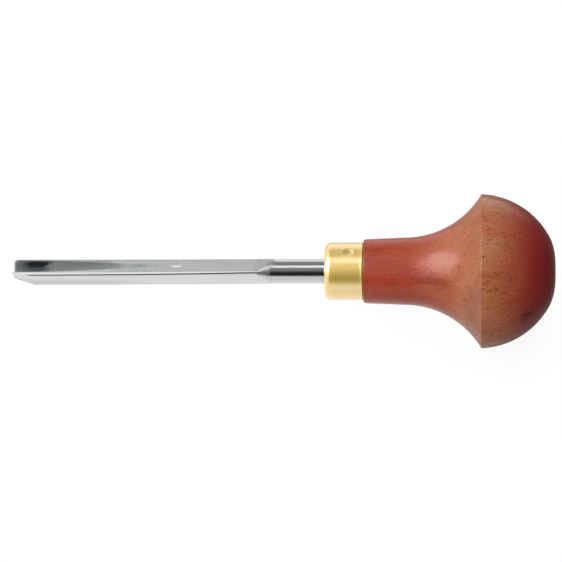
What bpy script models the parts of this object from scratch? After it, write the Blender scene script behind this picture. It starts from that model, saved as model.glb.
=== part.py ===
"""Palm carving chisel: a V-channel blade with its tang, a brass ferrule and a turned wooden palm handle.

The tool's axis is X. The centre of the butt is the origin, the cutting edge lies at -X and the
channel of the blade opens upwards, along +Z. Sizes are in metres and angles in degrees.
"""

import math

import bmesh
import bpy
from mathutils import Vector

# Space left between pieces that touch on the real tool
FIT_GAP = 0.0003

# Blade, from the cutting edge back to the ferrule
CHANNEL_LENGTH = 0.0400
PLAIN_LENGTH = 0.01995
NECK_LENGTH = 0.00525
SHANK_LENGTH = 0.0132

# Blade section next to the neck: a triangle with a flat top and a keel, round the axis of the shank
SHANK_RADIUS = 0.0031
FLAT_HEIGHT = 0.00198
KEEL_DEPTH = 0.00425
SIDE_ANGLE = 60.0
CORNER_ROUND = 0.0008
KEEL_ROUND = 0.0002

# How that section has changed at the cutting edge
TIP_DROP = 0.00024
TIP_FLARE_ANGLE = 5.0
TIP_CORNER_ROUND = 0.00062

# V channel ground into the flat
KEEL_WEB = 0.00205
WING_LAND = 0.0001

# Ground edge
KEEL_BEVEL_ANGLE = 22.0
EDGE_THICKNESS = 0.00004

# Tang, a square taper driven into the handle
TANG_LENGTH = 0.0300
TANG_LEDGE = 0.0003
TANG_TIP_WIDTH = 0.0022

# Ferrule, a cup with a rounded front edge
FERRULE_LENGTH = 0.0093
FERRULE_RADIUS = 0.0072
FERRULE_WALL = 0.0009
FERRULE_FRONT_WALL = 0.0011
FERRULE_ROUND = 0.0015
FERRULE_BACK_CHAMFER = 0.0003

# Punch marks that pin the ferrule to the wood, one above and one below
DIMPLE_DEPTH = 0.00045
DIMPLE_BALL_RADIUS = 0.0019

# Handle, turned about the axis: neck, flare, rim, dome and butt
NECK_CONE_LENGTH = 0.0102
SHOULDER_STEP = 0.0008
SHOULDER_ROUND = 0.0006
NECK_SWELL = 0.0004
FLARE_LENGTH = 0.01915
RIM_RADIUS = 0.0192
DOME_LENGTH = 0.01835
DOME_ARC_RADIUS = 0.0202
BUTT_RADIUS = 0.0052
TENON_CHAMFER = 0.0005

# Fineness of the meshes: with twice an odd number of sides, turned pieces have a flat side below
TURNED_SIDES = 74
CORNER_STEPS = 16
CHANNEL_STEPS = 14
NECK_STEPS = 12
FLARE_STEPS = 14
DOME_STEPS = 16
ROUND_STEPS = 5
BALL_SIDES = 24
MERGE_DISTANCE = 1e-6
CUTTER_OVERRUN = 0.002

# Places along the axis, from the butt forwards
RIM_X = -DOME_LENGTH
WAIST_X = RIM_X - FLARE_LENGTH
SHOULDER_X = WAIST_X - NECK_CONE_LENGTH
FERRULE_BACK_X = SHOULDER_X - FIT_GAP
FERRULE_FRONT_X = FERRULE_BACK_X - FERRULE_LENGTH
FERRULE_FLOOR_X = FERRULE_FRONT_X + FERRULE_FRONT_WALL
TENON_FRONT_X = FERRULE_FLOOR_X + FIT_GAP
TANG_FRONT_X = TENON_FRONT_X - FIT_GAP
TANG_END_X = TANG_FRONT_X + TANG_LENGTH
NECK_BACK_X = FERRULE_FRONT_X - SHANK_LENGTH
NECK_FRONT_X = NECK_BACK_X - NECK_LENGTH
CHANNEL_BACK_X = NECK_FRONT_X - PLAIN_LENGTH
TIP_X = CHANNEL_BACK_X - CHANNEL_LENGTH

# Radii and widths that follow from the sizes above
FERRULE_BORE_RADIUS = FERRULE_RADIUS - FERRULE_WALL
FERRULE_HOLE_RADIUS = SHANK_RADIUS + FIT_GAP
WALL_MIDDLE_RADIUS = FERRULE_RADIUS - FERRULE_WALL / 2
TENON_RADIUS = FERRULE_BORE_RADIUS - FIT_GAP
SHOULDER_RADIUS = FERRULE_RADIUS + SHOULDER_STEP
WAIST_RADIUS = SHOULDER_RADIUS + NECK_SWELL
TANG_HALF_WIDTH = (SHANK_RADIUS - TANG_LEDGE) / math.sqrt(2)
BLADE_LENGTH = CHANNEL_LENGTH + PLAIN_LENGTH
CHANNEL_ROOT_HEIGHT = KEEL_WEB - KEEL_DEPTH

# Directions of the top flat's outward normal in the YZ plane, at the start and after a whole turn
TOP_NORMAL = math.pi / 2
NEXT_TOP_NORMAL = TOP_NORMAL + 2 * math.pi


def clear_scene():
    for obj in list(bpy.data.objects):
        bpy.data.objects.remove(obj, do_unlink=True)


def make_material(name, colour, roughness, metallic):
    material = bpy.data.materials.new(name)
    material.use_nodes = True
    shader = material.node_tree.nodes["Principled BSDF"]
    shader.inputs["Base Color"].default_value = (*colour, 1.0)
    shader.inputs["Roughness"].default_value = roughness
    shader.inputs["Metallic"].default_value = metallic
    return material


def steel_material():
    return make_material("polished_steel", (0.62, 0.63, 0.64), 0.18, 1.0)


def brass_material():
    return make_material("brass", (0.80, 0.58, 0.24), 0.22, 1.0)


def wood_material():
    return make_material("lacquered_wood", (0.32, 0.07, 0.03), 0.25, 0.0)


def add_object(name, bm, material=None, sharp_angle=35.0):
    """Turns the bmesh into an object of this name, shaded smooth except at real edges."""
    mesh = bpy.data.meshes.new(name)
    bm.to_mesh(mesh)
    bm.free()
    mesh.shade_smooth()
    mesh.set_sharp_from_angle(angle=math.radians(sharp_angle))
    if material:
        mesh.materials.append(material)
    obj = bpy.data.objects.new(name, mesh)
    bpy.context.scene.collection.objects.link(obj)
    return obj


def add_helper(name, bm):
    """Adds a shape that only shapes others."""
    helper = add_object(name, bm)
    helper.hide_render = True
    helper.display_type = "WIRE"
    return helper


def combine(obj, operation, helper):
    modifier = obj.modifiers.new(f"{operation.lower()} {helper.name}", "BOOLEAN")
    modifier.operation = operation
    modifier.solver = "EXACT"
    modifier.object = helper


def close_up(bm):
    """Welds points that coincide and turns every face outwards."""
    bmesh.ops.remove_doubles(bm, verts=bm.verts, dist=MERGE_DISTANCE)
    bmesh.ops.recalc_face_normals(bm, faces=bm.faces)


def turned(profile):
    """Turns a profile of (x, radius) points about the X axis."""
    bm = bmesh.new()
    verts = [bm.verts.new((x, radius, 0.0)) for x, radius in profile]
    edges = [bm.edges.new(pair) for pair in zip(verts, verts[1:])]
    bmesh.ops.spin(
        bm,
        geom=verts + edges,
        cent=(0.0, 0.0, 0.0),
        axis=(1.0, 0.0, 0.0),
        angle=2 * math.pi,
        steps=TURNED_SIDES,
        use_merge=True,
    )
    close_up(bm)
    return bm


def arc(start, end, radius, steps, bulge):
    """Points of the arc of this radius from start to end, both included.

    The arc's centre lies on the right of the way from start to end for a bulge of 1, and on its left for -1.
    """
    start = Vector(start)
    end = Vector(end)
    chord = end - start
    rise = math.sqrt(radius**2 - chord.length_squared / 4)
    side = Vector((chord.y, -chord.x)).normalized()
    centre = (start + end) / 2 + side * rise * bulge
    first = start - centre
    turn = 2 * math.asin(chord.length / 2 / radius) * -bulge
    points = []
    for step in range(steps + 1):
        angle = turn * step / steps
        x = first.x * math.cos(angle) - first.y * math.sin(angle)
        y = first.x * math.sin(angle) + first.y * math.cos(angle)
        points.append((centre.x + x, centre.y + y))
    return points


def direction(angle):
    return Vector((math.cos(angle), math.sin(angle)))


def meeting_point(normal_a, distance_a, normal_b, distance_b):
    """The point that lies at both distances along two directions from the axis."""
    a = direction(normal_a)
    b = direction(normal_b)
    across = a.x * b.y - a.y * b.x
    y = (distance_a * b.y - distance_b * a.y) / across
    z = (distance_b * a.x - distance_a * b.x) / across
    return Vector((y, z))


def corner_points(flat_a, flat_b, rounding):
    """Points of the round between two flats, each given as (direction of its normal, distance from axis)."""
    normal_a, distance_a = flat_a
    normal_b, distance_b = flat_b
    centre = meeting_point(normal_a, distance_a - rounding, normal_b, distance_b - rounding)
    points = []
    for step in range(CORNER_STEPS + 1):
        angle = normal_a + (normal_b - normal_a) * step / CORNER_STEPS
        points.append(centre + direction(angle) * rounding)
    return points


def flat_normals(half_angle):
    """Directions of the outward normals: top flat, near side, far side and, a turn later, the top flat."""
    return TOP_NORMAL, math.pi + half_angle, 2 * math.pi - half_angle, NEXT_TOP_NORMAL


def section_sizes(x):
    """(height of the flat, half of the side angle, distance of the sides, corner round, keel round) at x.

    The section changes evenly from the neck to the cutting edge. In the neck, its distances and rounds
    all grow into the radius of the shank.
    """
    tip_share = min(max((NECK_FRONT_X - x) / BLADE_LENGTH, 0.0), 1.0)
    half_angle = math.radians(SIDE_ANGLE + TIP_FLARE_ANGLE * tip_share) / 2
    sizes = (
        FLAT_HEIGHT - TIP_DROP * tip_share,
        KEEL_DEPTH * math.sin(half_angle),
        CORNER_ROUND + (TIP_CORNER_ROUND - CORNER_ROUND) * tip_share,
        KEEL_ROUND,
    )
    part = min(max((x - NECK_FRONT_X) / NECK_LENGTH, 0.0), 1.0)
    run_out = part * part * (3.0 - 2.0 * part)
    height, side_distance, corner_round, keel_round = [
        size + (SHANK_RADIUS - size) * run_out for size in sizes
    ]
    return height, half_angle, side_distance, corner_round, keel_round


def outline(height, half_angle, side_distance, corner_round, keel_round):
    """The blade's outside in the YZ plane, from the top flat's near end round the keel to its far end."""
    top, near, far, next_top = flat_normals(half_angle)
    return (
        corner_points((top, height), (near, side_distance), corner_round)
        + corner_points((near, side_distance), (far, side_distance), keel_round)
        + corner_points((far, side_distance), (next_top, height), corner_round)
    )


def channel_mouth():
    """(half of the channel's width, its depth) at the cutting edge, inside the two lands of the top flat."""
    sizes = section_sizes(TIP_X)
    flat_end = outline(*sizes)[-1]
    return flat_end.x - WING_LAND, sizes[0] - CHANNEL_ROOT_HEIGHT


def channel_depth(x):
    """Depth of the channel at x: its floor rises on an arc, and meets the flat at the channel's end."""
    if x >= CHANNEL_BACK_X:
        return 0.0
    rise = section_sizes(CHANNEL_BACK_X)[0] - CHANNEL_ROOT_HEIGHT
    radius = (CHANNEL_LENGTH**2 + rise**2) / (2 * rise)
    floor = CHANNEL_ROOT_HEIGHT + radius - math.sqrt(radius**2 - (x - TIP_X) ** 2)
    return max(section_sizes(x)[0] - floor, 0.0)


def blade_ring(x):
    """The section of the blade at x, from the cutting edge to the round shank."""
    sizes = section_sizes(x)
    height = sizes[0]
    mouth_half_width, mouth_depth = channel_mouth()
    depth = channel_depth(x)
    half_width = mouth_half_width * depth / mouth_depth
    points = outline(*sizes)
    points.append(Vector((half_width, height)))
    points.append(Vector((0.0, height - depth)))
    points.append(Vector((-half_width, height)))
    return [(x, point.x, point.y) for point in points]


def square_ring(x, half_width):
    """A square section with as many points as a blade section, in the same directions."""
    angles = []
    normals = flat_normals(math.radians(SIDE_ANGLE / 2))
    for start, end in zip(normals, normals[1:]):
        angles += [start + (end - start) * step / CORNER_STEPS for step in range(CORNER_STEPS + 1)]
    angles += [TOP_NORMAL] * 3
    points = []
    for angle in angles:
        point = direction(angle)
        point *= half_width / max(abs(point.x), abs(point.y))
        points.append((x, point.x, point.y))
    return points


def lofted(rings):
    """Skins a row of rings and closes both ends."""
    bm = bmesh.new()
    rows = [[bm.verts.new(point) for point in ring] for ring in rings]
    count = len(rows[0])
    for row, next_row in zip(rows, rows[1:]):
        for index in range(count):
            following = (index + 1) % count
            bm.faces.new((row[index], row[following], next_row[following], next_row[index]))
    bm.faces.new(rows[0])
    bm.faces.new(rows[-1])
    close_up(bm)
    return bm


def grind(bm, point, normal):
    """Takes away what lies beyond a plane, and closes the cut."""
    geometry = bm.verts[:] + bm.edges[:] + bm.faces[:]
    cut = bmesh.ops.bisect_plane(
        bm,
        geom=geometry,
        dist=MERGE_DISTANCE / 10,
        plane_co=point,
        plane_no=normal,
        clear_outer=True,
    )
    edges = [item for item in cut["geom_cut"] if isinstance(item, bmesh.types.BMEdge)]
    bmesh.ops.holes_fill(bm, edges=edges)


def grind_bevels(bm):
    """Grinds the outside of both wings towards the cutting edge, as deep as the keel's bevel needs."""
    half_width, depth = channel_mouth()
    wall_angle = math.atan2(half_width, depth)
    slope = math.tan(math.radians(KEEL_BEVEL_ANGLE)) * math.sin(wall_angle)
    for side in (-1.0, 1.0):
        outwards = Vector((0.0, side * math.cos(wall_angle), -math.sin(wall_angle)))
        inner_edge = Vector((TIP_X, side * half_width, CHANNEL_ROOT_HEIGHT + depth))
        grind(bm, inner_edge + outwards * EDGE_THICKNESS, outwards - Vector((slope, 0.0, 0.0)))


def tang_rings(front_x, back_x, clearance):
    """Two square sections of the tang's taper, grown by a clearance and running on between these places."""
    slope = (TANG_TIP_WIDTH / 2 - TANG_HALF_WIDTH) / TANG_LENGTH
    rings = []
    for x in (front_x, back_x):
        half_width = TANG_HALF_WIDTH + slope * (x - TANG_FRONT_X) + clearance
        rings.append(square_ring(x, half_width))
    return rings


def make_blade():
    """The steel: channel, plain stretch, neck, round shank and tang in one piece."""
    stations = [TIP_X + CHANNEL_LENGTH * step / CHANNEL_STEPS for step in range(CHANNEL_STEPS + 1)]
    stations += [NECK_FRONT_X + NECK_LENGTH * step / NECK_STEPS for step in range(NECK_STEPS + 1)]
    stations.append(TANG_FRONT_X)
    rings = [blade_ring(x) for x in stations]
    rings += tang_rings(TANG_FRONT_X, TANG_END_X, 0.0)
    bm = lofted(rings)
    grind_bevels(bm)
    close_up(bm)
    return add_object("blade", bm, steel_material())


def punch_balls(name, radius, distance):
    """One ball above the axis and one below, in the middle of the ferrule's hollow."""
    bm = bmesh.new()
    x = (FERRULE_FLOOR_X + FERRULE_BACK_X) / 2
    for side in (-1.0, 1.0):
        ball = bmesh.ops.create_uvsphere(
            bm, u_segments=BALL_SIDES, v_segments=BALL_SIDES // 2, radius=radius
        )
        bmesh.ops.translate(bm, verts=ball["verts"], vec=(x, 0.0, side * distance))
    return add_helper(name, bm)


def make_ferrule():
    """The brass cup: the shank passes through its front and the tenon fills it."""
    front_round = arc(
        (FERRULE_FRONT_X, FERRULE_RADIUS - FERRULE_ROUND),
        (FERRULE_FRONT_X + FERRULE_ROUND, FERRULE_RADIUS),
        FERRULE_ROUND,
        ROUND_STEPS,
        1,
    )
    profile = [
        (FERRULE_FLOOR_X, FERRULE_HOLE_RADIUS),
        (FERRULE_FRONT_X, FERRULE_HOLE_RADIUS),
        *front_round,
        (FERRULE_BACK_X - FERRULE_BACK_CHAMFER, FERRULE_RADIUS),
        (FERRULE_BACK_X, FERRULE_RADIUS - FERRULE_BACK_CHAMFER),
        (FERRULE_BACK_X, FERRULE_BORE_RADIUS),
        (FERRULE_FLOOR_X, FERRULE_BORE_RADIUS),
    ]
    ferrule = add_object("ferrule", turned([*profile, profile[0]]), brass_material())
    ball_distance = FERRULE_RADIUS + DIMPLE_BALL_RADIUS - DIMPLE_DEPTH
    bulges = punch_balls("punch_bulges", FERRULE_WALL, WALL_MIDDLE_RADIUS)
    dents = punch_balls("punch_dents", DIMPLE_BALL_RADIUS, ball_distance)
    combine(ferrule, "UNION", bulges)
    combine(ferrule, "DIFFERENCE", dents)
    return ferrule


def handle_profile():
    """The turned outline of the wood, from the tenon's front to the butt."""
    rise = RIM_RADIUS - WAIST_RADIUS
    flare_radius = (FLARE_LENGTH**2 + rise**2) / (2 * rise)
    shoulder_round = arc(
        (SHOULDER_X, SHOULDER_RADIUS - SHOULDER_ROUND),
        (SHOULDER_X + SHOULDER_ROUND, SHOULDER_RADIUS),
        SHOULDER_ROUND,
        ROUND_STEPS,
        1,
    )
    flare = arc((WAIST_X, WAIST_RADIUS), (RIM_X, RIM_RADIUS), flare_radius, FLARE_STEPS, -1)
    dome = arc((RIM_X, RIM_RADIUS), (0.0, BUTT_RADIUS), DOME_ARC_RADIUS, DOME_STEPS, 1)
    return [
        (TENON_FRONT_X, 0.0),
        (TENON_FRONT_X, TENON_RADIUS - TENON_CHAMFER),
        (TENON_FRONT_X + TENON_CHAMFER, TENON_RADIUS),
        (SHOULDER_X, TENON_RADIUS),
        *shoulder_round,
        *flare,
        *dome[1:],
        (0.0, 0.0),
    ]


def make_handle():
    """The wood: tenon, shoulder, neck, flare, rim and domed butt, with the tang's hole."""
    handle = add_object("handle", turned(handle_profile()), wood_material())
    socket_rings = tang_rings(TENON_FRONT_X - CUTTER_OVERRUN, TANG_END_X + FIT_GAP, FIT_GAP)
    socket = add_helper("tang_socket", lofted(socket_rings))
    seats = punch_balls("punch_seats", FERRULE_WALL + FIT_GAP, WALL_MIDDLE_RADIUS)
    combine(handle, "DIFFERENCE", socket)
    combine(handle, "DIFFERENCE", seats)
    return handle


def main():
    clear_scene()
    make_blade()
    make_ferrule()
    make_handle()


main()
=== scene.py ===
"""Palm carving chisel: the finished look of its V blade, brass ferrule and turned palm handle.

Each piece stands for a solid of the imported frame, in the same place and at the same size. The tool's
axis is X, the butt is at the origin, the cutting edge lies at -X and the channel opens along +Z.
"""

import math

import bmesh
import bpy
from bpy.props import FloatProperty, FloatVectorProperty, PointerProperty
from mathutils import Matrix, Vector


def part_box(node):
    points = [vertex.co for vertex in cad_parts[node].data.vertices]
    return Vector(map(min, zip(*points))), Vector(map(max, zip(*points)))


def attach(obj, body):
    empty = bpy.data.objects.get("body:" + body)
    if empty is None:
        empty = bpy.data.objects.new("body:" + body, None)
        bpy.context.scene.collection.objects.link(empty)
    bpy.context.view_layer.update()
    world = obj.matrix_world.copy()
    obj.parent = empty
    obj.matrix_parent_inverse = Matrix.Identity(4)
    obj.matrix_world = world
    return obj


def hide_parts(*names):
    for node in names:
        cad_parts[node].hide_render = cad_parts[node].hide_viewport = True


bl_info = {
    "name": "Palm carving chisel",
    "version": (1, 0, 0),
    "blender": (4, 5, 0),
    "location": "3D View > Sidebar > Chisel",
    "description": "Dresses the solids of a palm carving chisel in steel, brass and lacquered wood",
    "category": "Object",
}

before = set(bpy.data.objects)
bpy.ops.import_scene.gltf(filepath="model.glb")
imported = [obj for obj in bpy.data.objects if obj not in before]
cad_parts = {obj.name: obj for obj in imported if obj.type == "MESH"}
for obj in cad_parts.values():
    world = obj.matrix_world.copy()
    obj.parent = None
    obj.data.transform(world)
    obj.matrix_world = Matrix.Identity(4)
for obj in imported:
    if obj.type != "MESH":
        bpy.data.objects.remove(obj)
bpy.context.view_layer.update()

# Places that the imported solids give
BLADE_LOW, BLADE_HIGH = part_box("blade")
FERRULE_LOW, FERRULE_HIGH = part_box("ferrule")
HANDLE_LOW, HANDLE_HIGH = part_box("handle")

# Fineness of the meshes
TURNED_SIDES = 256
CORNERS = 5
CORNER_STEPS = 16
ROOT_STEPS = 8
LIP_STEPS = 3
CHANNEL_POINTS = 2 * (LIP_STEPS + ROOT_STEPS + 2) - 1
TIP_STEPS = 10
CHANNEL_STEPS = 80
RUNOUT_STEPS = 44
PLAIN_STEPS = 12
NECK_STEPS = 48
ROUND_STEPS = 10
FLARE_STEPS = 56
DOME_STEPS = 64
EASE_STEPS = 8
BAND_STEPS = 64
MERGE_DISTANCE = 2e-6
CUT_DISTANCE = MERGE_DISTANCE / 20
EDGE_MERGE_DISTANCE = MERGE_DISTANCE / 4
SHARP_STEEL = math.radians(30.0)
SHARP_TURNED = math.radians(40.0)

# Direction of the top flat's normal in the YZ plane, and zones of the blade's surface
TOP_NORMAL = math.pi / 2
POLISHED, GROUND, HONED = range(3)

# Wear: 1 on an edge that hands and cloths rub bright, and -1 or less in a hollow where grime stays
HOLLOW_WEAR = -1.0
HOLE_EDGE_WEAR = -0.6
CHANNEL_ROOT_WEAR = -0.6
BAND_EDGE_WEAR = 0.7
PUNCH_WEAR = -1.2
PUNCH_LIP_WEAR = 0.5

# Middle and width of the lip round a punch mark, as parts of the mark's radius
PUNCH_LIP_PLACE = 1.15
PUNCH_LIP_WIDTH = 0.18

# How many times the rim's ease its rubbed part reaches, and the shoulder's round its grime
RIM_RUB_REACH = 3
SHOULDER_GRIME_REACH = 2


def length(name, description, default):
    """A size in metres."""
    return FloatProperty(
        name=name, description=description, default=default, min=0.0, precision=5, unit="LENGTH"
    )


def angle(name, description, degrees):
    """An angle, kept in radians and shown in degrees."""
    return FloatProperty(
        name=name,
        description=description,
        default=math.radians(degrees),
        subtype="ANGLE",
        unit="ROTATION",
    )


def number(name, description, default, unit="NONE"):
    """A number of any size."""
    return FloatProperty(name=name, description=description, default=default, unit=unit)


def share(name, description, default):
    """A plain number from 0 to 1."""
    return FloatProperty(
        name=name, description=description, default=default, min=0.0, max=1.0, subtype="FACTOR"
    )


def colour(name, description, default):
    """A linear colour."""
    return FloatVectorProperty(
        name=name, description=description, default=default, size=3, min=0.0, max=1.0, subtype="COLOR"
    )


class ChiselBladeSettings(bpy.types.PropertyGroup):
    """Sizes and colours of the steel."""

    flat_height: length("Flat height", "Height of the top flat above the axis, by the neck", 0.001965)
    tip_drop: length("Tip drop", "How far the flat sinks on its way to the edge", 0.000277)
    keel_depth: length("Keel depth", "Distance from the axis to the sides' meeting line", 0.00425)
    tip_keel_depth: length("Tip keel depth", "How far the keel lies below the axis at the edge", 0.00442)
    side_angle: angle("Side angle", "Angle between the blade's two sides, next to the neck", 54.0)
    tip_flare: angle("Tip flare", "How much wider that angle is at the edge", 8.7)
    flat_width: length("Flat width", "Width of the top flat next to the neck", 0.00478)
    tip_flat_width: length("Tip flat width", "Width of the top flat at the edge", 0.00504)
    chamfer_angle: angle("Chamfer angle", "Upward lean of the chamfers along the flat", 63.5)
    chamfer_round: length("Chamfer round", "Round between the flat and the chamfers", 0.00015)
    corner_round: length("Corner round", "Round from chamfer to side, next to the neck", 0.0005)
    tip_corner_round: length("Tip corner round", "Round from chamfer to side, at the edge", 0.00045)
    keel_round: length("Keel round", "Round along the keel", 0.0002)
    wing_ease: length("Wing ease", "Round on the outer end of each wing", 0.0007)
    channel_length: length("Channel length", "Length of the ground channel behind the edge", 0.0380)
    channel_web: length("Channel web", "Steel left between the channel's floor and the keel", 0.00205)
    wing_land: length("Wing land", "Flat left on top of each wing", 0.0001)
    lip_round: length("Lip round", "Round along the channel's two lips", 0.00006)
    root_radius: length("Root radius", "Round at the bottom of the channel", 0.00008)
    dish_back: length("Dish offset", "From the channel's end to the middle of the dish", 0.0032)
    dish_length: length("Dish length", "Half the length of the shallow polished dish", 0.0014)
    dish_depth: length("Dish depth", "Depth of that dish", 0.000055)
    dish_radius: length("Dish radius", "Round of that dish across its near half", 0.0026)
    dish_spread: number("Dish spread", "How many times wider its far half is", 3.5)
    bevel_angle: angle("Bevel angle", "Slope of the ground bevel at the keel", 22.0)
    edge_thickness: length("Edge thickness", "Thickness of the cutting edge", 0.00004)
    shank_radius: length("Shank radius", "Radius of the round shank", 0.0031)
    shank_length: length("Shank length", "Length of the round shank before the ferrule", 0.0132)
    neck_length: length("Neck length", "Length over which the flats run out into the shank", 0.0045)
    tang_ledge: length("Tang ledge", "Step from the shank to the tang's corners", 0.0003)
    tang_tip_width: length("Tang tip width", "Width of the square tang at its end", 0.0022)
    steel: colour("Steel", "Polished steel", (0.63, 0.64, 0.65))
    dull_steel: colour("Dull steel", "Steel where the polish is thin", (0.55, 0.56, 0.57))
    # Partly the dish's real polish, partly a painted highlight, which is strongest on its near half
    polished_steel: colour("Polished steel", "Steel in the dish behind the channel", (0.93, 0.935, 0.94))
    run_out_grey: colour("Run-out grey", "Stoned steel where the channel runs out", (0.35, 0.36, 0.365))
    # Painted shade: the floor's shadow mirrored low on the sides near the edge
    low_painted_shade: colour("Low steel", "Steel low on the sides near the edge", (0.50, 0.51, 0.52))
    channel_grey: colour("Channel grey", "Steel as the stone leaves it", (0.42, 0.43, 0.435))
    # Painted shade in the channel: a dark reflection near the edge, and shade on the near wall
    painted_channel_shade: colour("Smudge", "Dark smudge in the channel near the edge", (0.030, 0.040, 0.048))


class ChiselFerruleSettings(bpy.types.PropertyGroup):
    """Sizes and colours of the brass."""

    wall: length("Wall", "Thickness of the cup's side", 0.0009)
    front_wall: length("Front wall", "Thickness of the cup's front", 0.0011)
    front_round: length("Front round", "Round along the front edge", 0.0015)
    back_round: length("Back round", "Round along the back edge", 0.0002)
    back_lip: length("Back lip", "Height of the soft lip along the back edge", 0.00006)
    lip_length: length("Lip length", "Length over which that lip rises", 0.0006)
    back_reach: length("Back reach", "How far the brass is pressed on towards the shoulder", 0.00024)
    hole_gap: length("Hole gap", "Space between the shank and the brass", 0.0003)
    punch_radius: length("Punch radius", "Radius of each punch mark", 0.0013)
    punch_depth: length("Punch depth", "Depth of each punch mark", 0.00028)
    punch_lip: length("Punch lip", "Height of the lip pushed up round a punch mark", 0.00003)
    punch_shift: length("Punch shift", "How far behind the bore's middle the punch marks lie", 0.0007)
    punch_turn: angle("Punch turn", "Turn of the punch marks about the axis", 10.0)
    brass: colour("Brass", "Satin brass", (0.95, 0.63, 0.09))
    tarnish: colour("Tarnish", "Brass in the hollows", (0.42, 0.25, 0.07))


class ChiselHandleSettings(bpy.types.PropertyGroup):
    """Sizes and colours of the wood."""

    neck_length: length("Neck length", "Length of the straight neck behind the ferrule", 0.0102)
    neck_swell: length("Neck swell", "Growth of the radius along the neck", 0.0004)
    shoulder_step: length("Shoulder step", "Height of the shoulder above the ferrule", 0.0008)
    shoulder_round: length("Shoulder round", "Round along the shoulder", 0.0006)
    flare_length: length("Flare length", "Length of the hollow flare", 0.01915)
    dome_radius: length("Dome radius", "Radius of the dome's arc", 0.0202)
    butt_radius: length("Butt radius", "Radius of the flat butt, before it is eased", 0.0052)
    rim_ease: length("Rim ease", "How far the rim's corner is eased", 0.00016)
    butt_ease: length("Butt ease", "How far the butt's corner is eased", 0.0030)
    shoulder_gap: length("Shoulder gap", "Space between the shoulder and the brass", 0.00006)
    tenon_gap: length("Tenon gap", "Space between the tenon and the brass", 0.0003)
    tenon_chamfer: length("Tenon chamfer", "Chamfer on the tenon's front", 0.0005)
    socket_gap: length("Socket gap", "Space round the tang's corners", 0.0003)
    red: colour("Red", "Stained wood of the neck", (0.35, 0.045, 0.016))
    orange: colour("Orange", "Paler wood of the flare", (0.415, 0.150, 0.060))
    fleck: colour("Fleck", "Dark pores and flecks", (0.16, 0.020, 0.010))
    knot: colour("Knot", "Small dark knot on the dome", (0.13, 0.011, 0.006))
    knot_place: FloatVectorProperty(
        name="Knot place",
        description="Middle of the small knot on the dome",
        default=(-0.0072, -0.0152, -0.0021),
        size=3,
        subtype="TRANSLATION",
        unit="LENGTH",
    )
    end_grain: colour("End grain", "End grain, where the stain sinks in", (0.31, 0.011, 0.015))


class ChiselStageSettings(bpy.types.PropertyGroup):
    """The camera's place and the studio's light."""

    view_turn: angle("View turn", "Turn of the camera towards the butt", 4.76)
    view_height: angle("View height", "Height of the camera above the horizon", 38.5)
    view_distance: length("View distance", "Distance from the camera to the tool", 0.77)
    view_width: length("View width", "Width of the picture at that distance", 0.1405)
    aim_x: number("Aim", "Place on the axis at the picture's middle", -0.06835, "LENGTH")
    aim_drop: length("Aim drop", "How far below the axis the picture's middle lies", 0.00243)
    top_light: number("Top light", "Power of the softbox overhead", 0.66, "POWER")
    key_light: number("Key light", "Power of the softbox mirrored in the neck", 5.3, "POWER")
    fill_light: number("Fill light", "Power of the light in front, with no mirror image", 7.7, "POWER")
    back_light: number("Back light", "Power of the light behind, with no mirror image", 2.5, "POWER")
    shadow: share("Shadow", "How much of the shadow shows on the white floor", 0.12)


# Shapes


def direction(turn):
    """The unit vector of this angle in the YZ plane."""
    return Vector((math.cos(turn), math.sin(turn)))


def blend(start, end, part):
    """The number that lies this part of the way from start to end."""
    return start + (end - start) * part


def clamped(value):
    """The value, held between 0 and 1."""
    return min(max(value, 0.0), 1.0)


def smooth_step(value, low, high):
    """0 below low, 1 above high, and an even curve between them."""
    part = clamped((value - low) / (high - low))
    return part * part * (3.0 - 2.0 * part)


def arc(start, end, radius, steps, bulge):
    """Points of the arc of this radius from start to end.

    Its centre lies on the right of the way from start to end for a bulge of 1, and on its left for -1.
    """
    start = Vector(start)
    end = Vector(end)
    chord = end - start
    rise = math.sqrt(max(radius**2 - chord.length_squared / 4, 0.0))
    side = Vector((chord.y, -chord.x)).normalized()
    centre = (start + end) / 2 + side * rise * bulge
    first = start - centre
    turn = 2 * math.asin(chord.length / 2 / radius) * -bulge
    points = []
    for step in range(steps + 1):
        cosine = math.cos(turn * step / steps)
        sine = math.sin(turn * step / steps)
        spoke = (first.x * cosine - first.y * sine, first.x * sine + first.y * cosine)
        points.append(centre + Vector(spoke))
    return points


def straight(start, end, steps):
    """Evenly spaced points from start to end."""
    return [Vector(start).lerp(Vector(end), step / steps) for step in range(steps + 1)]


def bent(start, corner, end, steps):
    """Points of a soft bend from start to end, drawn towards the corner."""
    points = []
    for step in range(steps + 1):
        part = step / steps
        points.append(start.lerp(corner, part).lerp(corner.lerp(end, part), part))
    return points


def eased(before, after, reach):
    """Joins two curves that meet at a corner, with the corner softened over this reach."""
    corner = before[-1]
    kept_before = [point for point in before if (point - corner).length > reach]
    kept_after = [point for point in after if (point - corner).length > reach]
    start = corner + (kept_before[-1] - corner).normalized() * reach
    end = corner + (kept_after[0] - corner).normalized() * reach
    return kept_before + bent(start, corner, end, EASE_STEPS) + kept_after


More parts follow.
